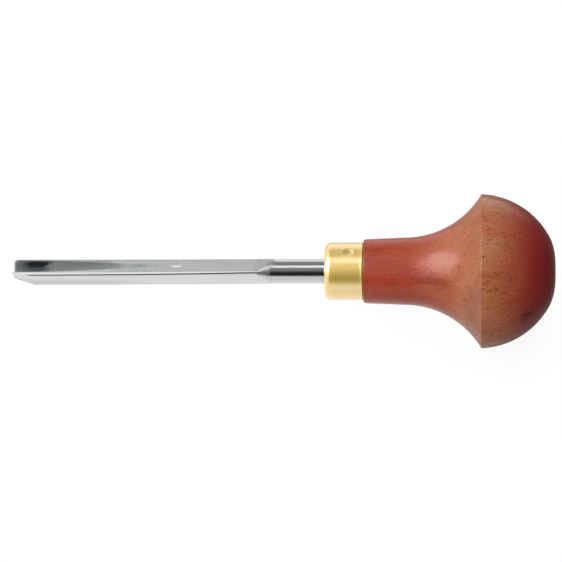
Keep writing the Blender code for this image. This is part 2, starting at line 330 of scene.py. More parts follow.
def skinned(rings, looped=False, capped=False, zone_of=None):
    """A bmesh over rings of (point, wear). The wear is kept on its points."""
    bm = bmesh.new()
    wear_layer = bm.verts.layers.float.new("wear")
    rows = []
    for ring in rings:
        row = []
        for point, wear in ring:
            vert = bm.verts.new(point)
            vert[wear_layer] = wear
            row.append(vert)
        rows.append(row)
    pairs = list(zip(rows, rows[1:]))
    if looped:
        pairs.append((rows[-1], rows[0]))
    count = len(rows[0])
    for row, next_row in pairs:
        for index in range(count):
            following = (index + 1) % count
            face = bm.faces.new((row[index], row[following], next_row[following], next_row[index]))
            if zone_of:
                face.material_index = zone_of(index)
    if capped:
        bm.faces.new(rows[0])
        bm.faces.new(rows[-1])
    bmesh.ops.remove_doubles(bm, verts=bm.verts, dist=MERGE_DISTANCE)
    bmesh.ops.recalc_face_normals(bm, faces=bm.faces)
    return bm


def turned(profile, looped=False, shape=None):
    """A bmesh turned about the X axis from (x, radius, wear).

    shape gives the change of radius and of wear at (x, radius, turn), for marks that don't go all round.
    """
    rings = []
    for x, radius, wear in profile:
        ring = []
        for side in range(TURNED_SIDES):
            turn = 2 * math.pi * side / TURNED_SIDES
            rise, rub = shape(x, radius, turn) if shape else (0.0, 0.0)
            point = direction(turn) * (radius + rise)
            ring.append(((x, point.x, point.y), wear + rub))
        rings.append(ring)
    return skinned(rings, looped=looped)


def add_piece(name, bm, node, materials, sharp_angle):
    """Turns the bmesh into a piece that rides on the tool and stands for one of its solids."""
    mesh = bpy.data.meshes.new(name)
    bm.to_mesh(mesh)
    bm.free()
    mesh.shade_smooth()
    mesh.set_sharp_from_angle(angle=sharp_angle)
    for material in materials:
        mesh.materials.append(material)
    piece = bpy.data.objects.new(name, mesh)
    bpy.context.scene.collection.objects.link(piece)
    weighted = piece.modifiers.new("even shading", "WEIGHTED_NORMAL")
    weighted.keep_sharp = True
    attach(piece, "root")
    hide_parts(node)


class BladeShape:
    """Sections of the blade at any place along the axis, worked out from its sizes."""

    def __init__(self, sizes, tang_front_x):
        self.sizes = sizes
        self.tip_x = BLADE_LOW.x
        self.tang_front_x = tang_front_x
        self.tang_end_x = BLADE_HIGH.x
        self.shank_front_x = FERRULE_LOW.x - sizes.shank_length
        self.neck_front_x = self.shank_front_x - sizes.neck_length
        self.outline_count = CORNERS * (CORNER_STEPS + 1)
        tip_flat_height = sizes.flat_height - sizes.tip_drop
        tip_outline = self.outline(*self.section(self.tip_x, wing_eased=False))
        self.half_width = tip_outline[-1].x - sizes.wing_land
        self.root_height = sizes.channel_web - sizes.keel_depth
        self.wall_angle = math.atan2(self.half_width, tip_flat_height - self.root_height)
        end_flats, _ = self.section(self.tip_x + sizes.channel_length)
        rise = end_flats[0][1] - self.root_height
        self.floor_radius = (sizes.channel_length**2 + rise**2) / (2 * rise)

    def section(self, x, wing_eased=True):
        """The flats of the section at x as (direction of the normal, distance), and the rounds between.

        They go from the top flat round the keel to the top flat again. In the neck, all the distances
        and rounds grow evenly into the shank's radius.
        """
        sizes = self.sizes
        distance = x - self.tip_x
        plain_share = clamped(distance / (self.neck_front_x - self.tip_x))
        flare = 1.0 - plain_share**2
        half_angle = (sizes.side_angle + sizes.tip_flare * flare) / 2
        height = sizes.flat_height - sizes.tip_drop * flare
        flat_width = blend(sizes.flat_width, sizes.tip_flat_width, flare)
        if wing_eased and distance < sizes.wing_ease:
            part = 1.0 - distance / sizes.wing_ease
            height -= sizes.wing_ease * (1.0 - math.sqrt(1.0 - part**2))
        lean = sizes.chamfer_angle
        chamfer = flat_width / 2 * math.cos(lean) + height * math.sin(lean)
        keel_depth = blend(sizes.keel_depth, sizes.tip_keel_depth, flare)
        side = keel_depth * math.sin(half_angle)
        corner_round = blend(sizes.corner_round, sizes.tip_corner_round, flare)
        run_out = smooth_step(x, self.neck_front_x, self.shank_front_x)

        def grown(size):
            """The size, as far as it has grown into the shank's radius."""
            return blend(size, sizes.shank_radius, run_out)

        flats = [
            (TOP_NORMAL, grown(height)),
            (math.pi - lean, grown(chamfer)),
            (math.pi + half_angle, grown(side)),
            (2 * math.pi - half_angle, grown(side)),
            (2 * math.pi + lean, grown(chamfer)),
            (2 * math.pi + TOP_NORMAL, grown(height)),
        ]
        near_rounds = [sizes.chamfer_round, corner_round]
        own_rounds = [*near_rounds, sizes.keel_round, *reversed(near_rounds)]
        return flats, [grown(size) for size in own_rounds]

    def corner(self, flat_a, flat_b, rounding):
        """Points of the round from one flat to the next, each (direction of the normal, distance)."""
        normal_a, distance_a = flat_a
        normal_b, distance_b = flat_b
        a = direction(normal_a)
        b = direction(normal_b)
        height_a = distance_a - rounding
        height_b = distance_b - rounding
        meeting = Vector((height_a * b.y - height_b * a.y, height_b * a.x - height_a * b.x))
        centre = meeting / a.cross(b)
        points = []
        for step in range(CORNER_STEPS + 1):
            turn = blend(normal_a, normal_b, step / CORNER_STEPS)
            points.append(centre + direction(turn) * rounding)
        return points

    def outline(self, flats, rounds):
        """The outside in the YZ plane, from the top flat's near end round the keel to its far end."""
        points = []
        for flat_a, flat_b, rounding in zip(flats, flats[1:], rounds):
            points += self.corner(flat_a, flat_b, rounding)
        return points

    def channel_cut(self, x, height):
        """What is cut from the flat at x: its depth, the round at its bottom and its far half's spread.

        The channel's floor lies on an arc. A shallow dish lies a little behind the channel's end.
        """
        sizes = self.sizes
        distance = x - self.tip_x
        rise = self.floor_radius - math.sqrt(max(self.floor_radius**2 - distance**2, 0.0))
        root_loss = sizes.root_radius * (1.0 / math.sin(self.wall_angle) - 1.0)
        floor_depth = height - self.root_height - rise - root_loss
        if floor_depth > 0.0:
            return floor_depth, sizes.root_radius, 1.0
        dish_middle = sizes.channel_length + sizes.dish_back
        dish = 1.0 - ((distance - dish_middle) / sizes.dish_length) ** 2
        return sizes.dish_depth * max(dish, 0.0), sizes.dish_radius, sizes.dish_spread

    def channel_side(self, x, height):
        """Half of the channel's outline at x, from the flat beside a lip down to the root."""
        depth, radius, _ = self.channel_cut(x, height)
        if depth < MERGE_DISTANCE:
            return [Vector((0.0, height))] * (LIP_STEPS + ROOT_STEPS + 2)
        centre = Vector((0.0, height - depth + radius))
        wall_turn = math.pi / 2 - self.wall_angle
        if centre.y - radius * math.cos(wall_turn) < height:
            root_turn = wall_turn
        else:
            root_turn = math.acos((centre.y - height) / radius)
        root = []
        for step in range(ROOT_STEPS + 1):
            turn = root_turn * (1.0 - step / ROOT_STEPS)
            root.append(centre + Vector((math.sin(turn), -math.cos(turn))) * radius)
        lip = root[0] + Vector((math.tan(self.wall_angle), 1.0)) * (height - root[0].y)
        reach = min(self.sizes.lip_round, lip.x / 4)
        start = lip + Vector((reach, 0.0))
        end = lip + (root[0] - lip).normalized() * min(reach, (root[0] - lip).length / 2)
        return bent(start, lip, end, LIP_STEPS) + root

    def ring(self, x):
        """The section at x as (point, wear): the outside, then the channel from far lip to near lip."""
        flats, rounds = self.section(x)
        side = self.channel_side(x, flats[0][1])
        spread = self.channel_cut(x, flats[0][1])[-1]
        far_side = [Vector((point.x * spread, point.y)) for point in side]
        near_side = [Vector((-point.x, point.y)) for point in reversed(side[:-1])]
        points = self.outline(flats, rounds) + far_side + near_side
        crispness = 1.0 - smooth_step(x, self.neck_front_x, self.shank_front_x)
        ring = []
        for index, point in enumerate(points):
            ring.append(((x, point.x, point.y), self.wear_of(index) * crispness))
        return ring

    def wear_of(self, index):
        """Wear of a point of the ring: full in the middle of a corner and on the lips."""
        if index < self.outline_count:
            return math.sin(math.pi * (index % (CORNER_STEPS + 1)) / CORNER_STEPS)
        place = index - self.outline_count
        from_lip = min(place, CHANNEL_POINTS - 1 - place)
        if from_lip <= LIP_STEPS:
            return 1.0
        return CHANNEL_ROOT_WEAR * (from_lip - LIP_STEPS) / (ROOT_STEPS + 1)

    def zone_of(self, index):
        """Zone of the face between a point of the ring and the next one."""
        place = index - self.outline_count
        return GROUND if 0 <= place < CHANNEL_POINTS - 1 - LIP_STEPS else POLISHED

    def tang_ring(self, x, half_width):
        """A square section with as many points as the blade's, in the same directions."""
        turns = []
        normals = [normal for normal, _ in self.section(x)[0]]
        for start, end in zip(normals, normals[1:]):
            turns += [blend(start, end, step / CORNER_STEPS) for step in range(CORNER_STEPS + 1)]
        turns += [TOP_NORMAL] * CHANNEL_POINTS
        ring = []
        for turn in turns:
            point = direction(turn)
            point *= half_width / max(abs(point.x), abs(point.y))
            ring.append(((x, point.x, point.y), 0.0))
        return ring

    def stations(self):
        """Places along the axis from the edge to the tang, closer where the section changes faster."""
        sizes = self.sizes
        dish_middle = self.tip_x + sizes.channel_length + sizes.dish_back
        bounds = (
            (self.tip_x, TIP_STEPS),
            (self.tip_x + sizes.wing_ease, CHANNEL_STEPS),
            (self.tip_x + sizes.channel_length, 1),
            (dish_middle - sizes.dish_length, RUNOUT_STEPS),
            (dish_middle + sizes.dish_length, PLAIN_STEPS),
            (self.neck_front_x, NECK_STEPS),
            (self.shank_front_x, 1),
            (self.tang_front_x, 0),
        )
        places = []
        for (start, steps), (end, _) in zip(bounds, bounds[1:]):
            places += [blend(start, end, step / steps) for step in range(steps)]
        return places + [self.tang_front_x]

    def grind(self, bm, point, normal):
        """Takes away what lies beyond a plane, closes the cut and marks it as honed."""
        cut = bmesh.ops.bisect_plane(
            bm,
            geom=bm.verts[:] + bm.edges[:] + bm.faces[:],
            dist=CUT_DISTANCE,
            plane_co=point,
            plane_no=normal,
            clear_outer=True,
        )
        edges = [item for item in cut["geom_cut"] if isinstance(item, bmesh.types.BMEdge)]
        filled = bmesh.ops.holes_fill(bm, edges=edges)
        for face in filled["faces"]:
            face.material_index = HONED

    def grind_bevels(self, bm):
        """Grinds the outside of both wings towards the cutting edge."""
        sizes = self.sizes
        slope = math.tan(sizes.bevel_angle) * math.sin(self.wall_angle)
        for side in (-1.0, 1.0):
            outwards = Vector((0.0, side * math.cos(self.wall_angle), -math.sin(self.wall_angle)))
            edge_height = sizes.flat_height - sizes.tip_drop
            inner_edge = Vector((self.tip_x, side * self.half_width, edge_height))
            place = inner_edge + outwards * sizes.edge_thickness
            self.grind(bm, place, outwards - Vector((slope, 0.0, 0.0)))

    def mesh(self):
        """A bmesh of the whole blade, from its ground edge to the tang's end."""
        sizes = self.sizes
        tang_half_width = (sizes.shank_radius - sizes.tang_ledge) / math.sqrt(2)
        rings = [self.ring(x) for x in self.stations()]
        rings.append(self.tang_ring(self.tang_front_x, tang_half_width))
        rings.append(self.tang_ring(self.tang_end_x, sizes.tang_tip_width / 2))
        bm = skinned(rings, capped=True, zone_of=self.zone_of)
        self.grind_bevels(bm)
        bmesh.ops.remove_doubles(bm, verts=bm.verts, dist=EDGE_MERGE_DISTANCE)
        bmesh.ops.recalc_face_normals(bm, faces=bm.faces)
        return bm


def ferrule_mesh(sizes, shank_radius):
    """The brass cup: front with the shank's hole, rounded front edge, band and back edge, and bore."""
    front_x = FERRULE_LOW.x
    back_x = FERRULE_HIGH.x + sizes.back_reach
    floor_x = front_x + sizes.front_wall
    radius = FERRULE_HIGH.y
    bore_radius = radius - sizes.wall
    hole_radius = shank_radius + sizes.hole_gap
    front_corner = Vector((front_x + sizes.front_round, radius))
    back_corner = Vector((back_x - sizes.back_round, radius))
    front_start = (front_x, radius - sizes.front_round)
    back_end = (back_x, radius - sizes.back_round)
    outside = arc(front_start, front_corner, sizes.front_round, ROUND_STEPS, 1)
    outside += straight(front_corner, back_corner, BAND_STEPS)[1:]
    outside += arc(back_corner, back_end, sizes.back_round, ROUND_STEPS, 1)[1:]
    inside = straight((back_x, bore_radius), (floor_x, bore_radius), BAND_STEPS)
    profile = [(floor_x, hole_radius, HOLLOW_WEAR), (front_x, hole_radius, HOLE_EDGE_WEAR)]
    for point in outside:
        to_corner = min((point - front_corner).length, (point - back_corner).length)
        lip = sizes.back_lip * smooth_step(point.x, back_corner.x - sizes.lip_length, back_corner.x)
        rub = BAND_EDGE_WEAR * (1.0 - smooth_step(to_corner, 0.0, sizes.front_round))
        profile.append((point.x, point.y + lip, rub))
    profile += [(point.x, point.y, HOLLOW_WEAR) for point in inside]
    punch_x = (floor_x + back_x) / 2 + sizes.punch_shift

    def punch_marks(x, ring_radius, turn):
        """Change of radius and of wear by the two punch marks, and by the bulges inside them."""
        from_top = (turn - TOP_NORMAL - sizes.punch_turn + math.pi / 2) % math.pi - math.pi / 2
        reach = math.hypot(x - punch_x, from_top * ring_radius) / sizes.punch_radius
        if ring_radius > radius - MERGE_DISTANCE:
            dent = -sizes.punch_depth * max(1.0 - reach**2, 0.0)
            lip = math.exp(-(((reach - PUNCH_LIP_PLACE) / PUNCH_LIP_WIDTH) ** 2))
            rub = PUNCH_WEAR * max(1.0 - reach, 0.0) + PUNCH_LIP_WEAR * lip
            return dent + sizes.punch_lip * lip, rub
        if abs(ring_radius - bore_radius) < MERGE_DISTANCE:
            return -sizes.hole_gap / 2 * max(1.0 - reach**2, 0.0), 0.0
        return 0.0, 0.0

    return turned(profile, looped=True, shape=punch_marks)


def handle_places(sizes, ferrule):
    """Places of the shoulder, the waist and the rim on the axis."""
    shoulder_x = FERRULE_HIGH.x + ferrule.back_reach + sizes.shoulder_gap
    waist_x = shoulder_x + sizes.neck_length
    return shoulder_x, waist_x, waist_x + sizes.flare_length


def handle_mesh(sizes, ferrule, blade):
    """The turned wood: socket, tenon, shoulder, neck, flare, rim, dome and butt."""
    butt_x = HANDLE_HIGH.x
    tenon_x = HANDLE_LOW.x
    rim_radius = HANDLE_HIGH.y
    shoulder_radius = FERRULE_HIGH.y + sizes.shoulder_step
    waist_radius = shoulder_radius + sizes.neck_swell
    tenon_radius = FERRULE_HIGH.y - ferrule.wall - sizes.tenon_gap
    shoulder_x, waist_x, rim_x = handle_places(sizes, ferrule)
    rise = rim_radius - waist_radius
    flare_radius = (sizes.flare_length**2 + rise**2) / (2 * rise)
    shoulder = arc(
        (shoulder_x, shoulder_radius - sizes.shoulder_round),
        (shoulder_x + sizes.shoulder_round, shoulder_radius),
        sizes.shoulder_round,
        ROUND_STEPS,
        1,
    )
    neck = straight(shoulder[-1], (waist_x, waist_radius), ROUND_STEPS)[1:]
    flare = arc((waist_x, waist_radius), (rim_x, rim_radius), flare_radius, FLARE_STEPS, -1)[1:]
    dome = arc((rim_x, rim_radius), (butt_x, sizes.butt_radius), sizes.dome_radius, DOME_STEPS, 1)
    butt = straight((butt_x, sizes.butt_radius), (butt_x, 0.0), ROUND_STEPS)
    outside = eased(shoulder + neck + flare, dome, sizes.rim_ease)
    outside = eased(outside, butt, sizes.butt_ease)
    socket_radius = blade.shank_radius - blade.tang_ledge + sizes.socket_gap
    socket_end_radius = blade.tang_tip_width / math.sqrt(2) + sizes.socket_gap
    socket_end_x = BLADE_HIGH.x + sizes.socket_gap
    hidden = (
        (socket_end_x, 0.0),
        (socket_end_x, socket_end_radius),
        (tenon_x, socket_radius),
        (tenon_x, tenon_radius - sizes.tenon_chamfer),
        (tenon_x + sizes.tenon_chamfer, tenon_radius),
        (shoulder_x, tenon_radius),
    )
    profile = [(x, radius, HOLLOW_WEAR) for x, radius in hidden]
    rim = Vector((rim_x, rim_radius))
    for point in outside:
        rub = 1.0 - smooth_step((point - rim).length, 0.0, RIM_RUB_REACH * sizes.rim_ease)
        grime_end_x = shoulder_x + SHOULDER_GRIME_REACH * sizes.shoulder_round
        grime = 1.0 - smooth_step(point.x, shoulder_x, grime_end_x)
        profile.append((point.x, max(point.y, 0.0), rub - grime))
    return turned(profile)


# Materials


# Places where a look of the steel begins and where it is full, in metres. Counted from the cutting edge:
GREY_RUN = (0.058, 0.034)
LOW_SHADE_RUN = (0.036, 0.022)
CHANNEL_SHADE_RISE = (0.0014, 0.0058)
CHANNEL_SHADE_FALL = (0.0107, 0.0088)
# How far behind the channel's end the dish's polish begins, and places counted from there:
DISH_GAP = 0.0002
DISH_FRONT = (0.0, 0.0004)
RUN_OUT = (-0.012, -0.007)
# Counted from the front of the neck, and then from the front of the shank:
NECK_FRONT = (-0.0004, 0.0014)
NECK_BACK = (-0.0001, -0.0009)
NECK_SLANT = (-0.0063, -0.0073)
# Heights above the axis, and then distances behind the middle plane:
NECK_TOP = (0.0006, 0.0014)
LOW_SHADE_HEIGHT = (-0.0006, -0.0024)
CHANNEL_SHADE_ROOT = (-0.0012, 0.0008)
CHANNEL_SHADE_LIP = (0.0017, 0.0011)
NEAR_WALL = (0.0001, -0.0002)
NEAR_HALF = (0.0001, -0.0001)

# How far the border of a look leans along the axis with height, and how far noise moves it, in metres
NECK_LEAN = -2.5
GREY_LEAN = 4.0
CHANNEL_SHADE_LEAN = -0.6
GREY_STREAKS = 0.024
CHANNEL_SHADE_RAGS = 0.0030

# What a look adds to the roughness of the steel, and what the dish leaves of it
LINE_ROUGHNESS = 0.05
NECK_ROUGHNESS = 0.26
RUN_OUT_ROUGHNESS = 0.25
DISH_POLISH = 0.06

# The blade's finishes by zone: name, scale of the polish lines, roughness where glossy and where dull,
# and strength of the lines
STEEL_FINISHES = (
    ("polished_steel", (160.0, 7000.0, 7000.0), 0.09, 0.15, 0.25),
    ("ground_steel", (260.0, 9000.0, 9000.0), 0.30, 0.38, 0.45),
    ("honed_steel", (9000.0, 400.0, 400.0), 0.12, 0.18, 0.35),
)

# Scale of the turned rings on the brass, and how much brighter it is where it is rubbed
TURNED_LINES = (9000.0, 260.0, 260.0)
RUBBED_BRASS = 1.08

# Depth of the polish lines and of the wood's pores, in metres
LINE_DEPTH = 0.00002
PORE_DEPTH = 0.00003

# Places along the axis where a look of the wood begins and where it is full, in metres
STAIN_PALES = (-0.026, -0.004)
FLECKS_DEEPEN = (-0.022, -0.017)
VEIN_FRONT = (-0.037, -0.034)
VEIN_BACK = (-0.024, -0.028)
RIM_SHADE_FRONT = (-0.0235, -0.0205)
# The same round the axis, in radians above the near side
VEIN_LOW = (0.37, 0.44)
VEIN_HIGH = (0.62, 0.55)
RIM_SHADE_HIGH = (0.66, 0.44)
# The same by how far the surface faces the butt, and by the distance from the knot
RIM_SHADE_FACING = (0.05, -0.05)
END_GRAIN = (0.06, 0.86)
KNOT_EDGE = (0.0050, 0.0036)
# Levels of noise at which a mark begins and at which it is full
BLOTCHES = (0.50, 0.66)
STREAKS = (0.56, 0.68)
FIBRES = (0.35, 0.75)
PALE_FLECKS = (0.60, 0.72)
DARK_FLECKS = (0.57, 0.67)
# How far noise moves the border of a look: along the axis, round it and round the knot
STAIN_DRIFT = 0.024
TURN_DRIFT = 0.16
KNOT_RAGS = 0.0055


def feed(tree, node, values):
    """Sets inputs of a node. Each gets a value, or a link from the output socket that stands for it."""
    for name, value in values.items():
        if isinstance(value, bpy.types.NodeSocket):
            tree.links.new(value, node.inputs[name])
        else:
            node.inputs[name].default_value = value


def add_node(tree, kind, settings=None, inputs=None):
    """Adds a node with these settings and inputs."""
    node = tree.nodes.new(kind)
    for name, value in (settings or {}).items():
        setattr(node, name, value)
    feed(tree, node, inputs or {})
    return node


def new_group(name, inputs, outputs):
    """A shader node group that takes a vector and these inputs, each (name, default)."""
    group = bpy.data.node_groups.new(name, "ShaderNodeTree")
    group.interface.new_socket("Vector", in_out="INPUT", socket_type="NodeSocketVector")
    for socket_name, default in inputs:
        socket = group.interface.new_socket(socket_name, in_out="INPUT", socket_type="NodeSocketFloat")
        socket.default_value = default
    for socket_name in outputs:
        group.interface.new_socket(socket_name, in_out="OUTPUT", socket_type="NodeSocketFloat")
    return group, group.nodes.new("NodeGroupInput").outputs, group.nodes.new("NodeGroupOutput")


def math_node(tree, operation, *values, clamp=False):
    """The result of this operation on values and output sockets."""
    settings = {"operation": operation, "use_clamp": clamp}
    return add_node(tree, "ShaderNodeMath", settings, dict(enumerate(values))).outputs["Value"]


def measured(tree, operation, *vectors):
    """The length of a vector, or the distance between two."""
    settings = {"operation": operation}
    return add_node(tree, "ShaderNodeVectorMath", settings, dict(enumerate(vectors))).outputs["Value"]


def product(tree, *factors):
    """The factors, multiplied by each other."""
    result = factors[0]
    for factor in factors[1:]:
        result = math_node(tree, "MULTIPLY", result, factor)
    return result


def shifted(tree, value, source, amount):
    """The value, with this amount of the source added to it."""
    return math_node(tree, "MULTIPLY_ADD", source, amount, value)


def parts_of(tree, vector):
    """The X, Y and Z of a vector."""
    return add_node(tree, "ShaderNodeSeparateXYZ", inputs={"Vector": vector}).outputs


def grey(level):
    """A linear colour without a tint."""
    return (level, level, level)


def mixed(tree, factor, a, b):
    """A mix of two colours, each an output socket or a linear colour."""
    node = add_node(tree, "ShaderNodeMix", {"data_type": "RGBA"}, {0: factor})
    places = [place for place, socket in enumerate(node.inputs) if socket.type == "RGBA"]
    for place, value in zip(places, (a, b)):
        feed(tree, node, {place: value if isinstance(value, bpy.types.NodeSocket) else (*value, 1.0)})
    return next(socket for socket in node.outputs if socket.type == "RGBA")


def painted(tree, base, *layers):
    """The base colour under these layers, each (mask, how much of it shows, colour)."""
    for mask, part, tint in layers:
        base = mixed(tree, product(tree, mask, part), base, tint)
    return base


def ranged(tree, value, span, to=(0.0, 1.0), origin=0.0):
    """Maps a value from one span to another on a smooth curve, held at both ends.

    The ends of the first span are counted from the origin.
    """
    inputs = {
        "Value": value,
        "From Min": origin + span[0],
        "From Max": origin + span[1],
        "To Min": to[0],
        "To Max": to[1],
    }
    settings = {"interpolation_type": "SMOOTHSTEP"}
    return add_node(tree, "ShaderNodeMapRange", settings, inputs).outputs["Result"]


def noise(tree, vector, scale, detail=2.0, roughness=0.5):
    """Noise from 0 to 1, with the same scale in all directions."""
    inputs = {"Vector": vector, "Scale": scale, "Detail": detail, "Roughness": roughness}
    return add_node(tree, "ShaderNodeTexNoise", inputs=inputs).outputs["Fac"]


def stretched(tree, vector, scale, offset=(0.0, 0.0, 0.0)):
    """The vector, scaled in each direction and moved."""
    inputs = {"Vector": vector, "Location": offset, "Scale": scale}
    return add_node(tree, "ShaderNodeMapping", inputs=inputs).outputs["Vector"]


def grain(tree, vector, along, across, detail, roughness=0.5, offset=(0.0, 0.0, 0.0)):
    """Noise with one scale along the axis and another across it."""
    drawn_out = stretched(tree, vector, (along, across, across), offset)
    return noise(tree, drawn_out, 1.0, detail, roughness)


def bump(tree, height, strength, distance):
    """The normal of a surface with this relief."""
    inputs = {"Height": height, "Strength": strength, "Distance": distance}
    return add_node(tree, "ShaderNodeBump", inputs=inputs).outputs["Normal"]


def polish_lines_group(name):
    """Fine lines left by a wheel or a cloth, drawn out along the stretched directions of the vector."""
    group, start, end = new_group(name, (), ("Height", "Line"))
    fine = noise(group, start["Vector"], scale=1.0, detail=3.0, roughness=0.65)
    coarse = noise(group, start["Vector"], scale=0.23, detail=1.0)
    line = ranged(group, coarse, span=(0.60, 0.74))
    feed(group, end, {"Height": math_node(group, "ADD", fine, coarse), "Line": line})
    return group


def haze_group(name):
    """Cloudy change of gloss over a surface that hands and cloths have gone over."""
    inputs = (("Scale", 200.0), ("Glossy", 0.1), ("Dull", 0.3))
    group, start, end = new_group(name, inputs, ("Roughness", "Cloud"))
    noisy = noise(group, start["Vector"], start["Scale"], detail=4.0, roughness=0.6)
    cloud = ranged(group, noisy, span=(0.3, 0.7))
    gap = math_node(group, "SUBTRACT", start["Dull"], start["Glossy"])
    feed(group, end, {"Roughness": shifted(group, start["Glossy"], cloud, gap), "Cloud": cloud})
    return group


def edge_wear_group(name):
    """Masks of the rubbed edges and the grimy hollows, broken up by a fine noise."""
    inputs = (("Scale", 2500.0), ("Break-up", 0.5))
    group, start, end = new_group(name, inputs, ("Rubbed", "Grime"))
    wear = add_node(group, "ShaderNodeAttribute", {"attribute_name": "wear"}).outputs["Fac"]
    broken = noise(group, start["Vector"], start["Scale"], detail=3.0)
    loss = product(group, broken, start["Break-up"])
    hollow = product(group, wear, -1.0)
    rubbed = math_node(group, "SUBTRACT", wear, loss, clamp=True)
    grime = math_node(group, "SUBTRACT", hollow, loss, clamp=True)
    feed(group, end, {"Rubbed": rubbed, "Grime": grime})
    return group


def place_group(tree, make, name, inputs):
    """Places the node group of this name, which is made the first time that it is asked for."""
    group = bpy.data.node_groups.get(name) or make(name)
    return add_node(tree, "ShaderNodeGroup", {"node_tree": group}, inputs).outputs


def polish_lines(tree, vector):
    """Outputs of the polish lines: Height and Line."""
    return place_group(tree, polish_lines_group, "polish lines", {"Vector": vector})


def handling_haze(tree, vector, scale, glossy, dull):
    """Outputs of the handling haze: Roughness and Cloud."""
    inputs = {"Vector": vector, "Scale": scale, "Glossy": glossy, "Dull": dull}
    return place_group(tree, haze_group, "handling haze", inputs)


def edge_wear(tree, vector, scale, break_up):
    """Outputs of the edge wear: Rubbed and Grime."""
    inputs = {"Vector": vector, "Scale": scale, "Break-up": break_up}
    return place_group(tree, edge_wear_group, "edge wear", inputs)


def new_material(name):
    """A material with its nodes, its shader and its coordinates."""
    material = bpy.data.materials.new(name)
    material.use_nodes = True
    tree = material.node_tree
    coords = tree.nodes.new("ShaderNodeTexCoord").outputs
    return material, tree, tree.nodes["Principled BSDF"], coords


def channel_colour(tree, settings, coords, grime, base):
    """Steel of the channel: streaky grey that clears towards the dish, and a painted shade on the near
    wall.

    A painted dark reflection lies near the edge. It fades towards the root and towards the lips.
    """
    along, across, height = parts_of(tree, coords)
    streaks = grain(tree, coords, along=70.0, across=2600.0, detail=3.0)
    cloud = grain(tree, coords, along=400.0, across=900.0, detail=2.0)
    streaked = shifted(tree, shifted(tree, along, height, GREY_LEAN), streaks, GREY_STREAKS)
    ragged = shifted(tree, shifted(tree, along, height, CHANNEL_SHADE_LEAN), cloud, CHANNEL_SHADE_RAGS)
    # Painted dark reflection in the channel near the edge, fading towards the root and the lips
    painted_channel_shade = product(
        tree,
        ranged(tree, ragged, CHANNEL_SHADE_RISE, to=(0.10, 1.0), origin=BLADE_LOW.x),
        ranged(tree, ragged, CHANNEL_SHADE_FALL, origin=BLADE_LOW.x),
        ranged(tree, height, CHANNEL_SHADE_ROOT, to=(0.18, 1.0)),
        ranged(tree, height, CHANNEL_SHADE_LIP, to=(0.3, 1.0)),
    )
    return painted(
        tree,
        base,
        (ranged(tree, streaked, GREY_RUN, origin=BLADE_LOW.x), 1.0, settings.channel_grey),
        (grime, 0.8, settings.channel_grey),
        # Painted shade on the near wall
        (ranged(tree, across, NEAR_WALL), 0.45, settings.painted_channel_shade),
        # Painted dark reflection near the edge
        (painted_channel_shade, 1.0, settings.painted_channel_shade),
    )


def steel_material(settings, zone, name, line_scale, glossy, dull, line_strength):
    """Steel whose polish lines run the way that line_scale draws them out.

    It carries a painted shade low on the sides by the edge, standing for the floor's shadow mirrored
    there, and it is satin grey on top of the neck. In the channel the stone has left it matt, most of
    all where the channel runs out. The dish behind that is polished, and its brighter steel is partly a
    painted highlight.
    """
    material, tree, shader, coords = new_material(name)
    coords = coords["Object"]
    along, across, height = parts_of(tree, coords)
    shank_x = FERRULE_LOW.x - settings.shank_length
    neck_x = shank_x - settings.neck_length
    lines = polish_lines(tree, stretched(tree, coords, line_scale))
    haze = handling_haze(tree, coords, scale=90.0, glossy=glossy, dull=dull)
    wear = edge_wear(tree, coords, scale=3000.0, break_up=0.6)
    neck_end = math_node(
        tree,
        "MAXIMUM",
        ranged(tree, along, NECK_BACK, origin=shank_x),
        ranged(tree, shifted(tree, along, height, NECK_LEAN), NECK_SLANT, origin=shank_x),
    )
    neck_front = ranged(tree, along, NECK_FRONT, origin=neck_x)
    neck = product(tree, ranged(tree, height, NECK_TOP), neck_end, neck_front)
    low_shade_along = ranged(tree, along, LOW_SHADE_RUN, origin=BLADE_LOW.x)
    base = painted(
        tree,
        settings.steel,
        (haze["Cloud"], 0.3, settings.dull_steel),
        (lines["Line"], 0.35, settings.dull_steel),
        (wear["Grime"], 0.5, settings.dull_steel),
        (neck, 0.9, settings.channel_grey),
        # Painted shade low on the sides near the edge, standing for the floor's shadow mirrored there
        (ranged(tree, height, LOW_SHADE_HEIGHT), low_shade_along, settings.low_painted_shade),
    )
    roughness = shifted(tree, haze["Roughness"], lines["Line"], LINE_ROUGHNESS)
    roughness = shifted(tree, roughness, neck, NECK_ROUGHNESS)
    if zone == GROUND:
        dish_x = BLADE_LOW.x + settings.channel_length + DISH_GAP
        behind = ranged(tree, along, DISH_FRONT, origin=dish_x)
        run_out = math_node(tree, "SUBTRACT", ranged(tree, along, RUN_OUT, origin=dish_x), behind)
        roughness = shifted(tree, roughness, run_out, RUN_OUT_ROUGHNESS)
        polish = ranged(tree, along, DISH_FRONT, to=(1.0, DISH_POLISH), origin=dish_x)
        roughness = product(tree, roughness, polish)
        base = mixed(tree, run_out, base, settings.run_out_grey)
        base = channel_colour(tree, settings, coords, wear["Grime"], base)
        # The dish's brighter steel, strongest on its near half: partly its polish, partly a painted
        # highlight
        near = ranged(tree, across, NEAR_HALF, to=(0.3, 1.0))
        base = painted(tree, base, (behind, near, settings.polished_steel))
    looks = {
        "Base Color": base,
        "Roughness": roughness,
        "Metallic": 1.0,
        "Normal": bump(tree, lines["Height"], line_strength, LINE_DEPTH),
    }
    feed(tree, shader, looks)
    return material


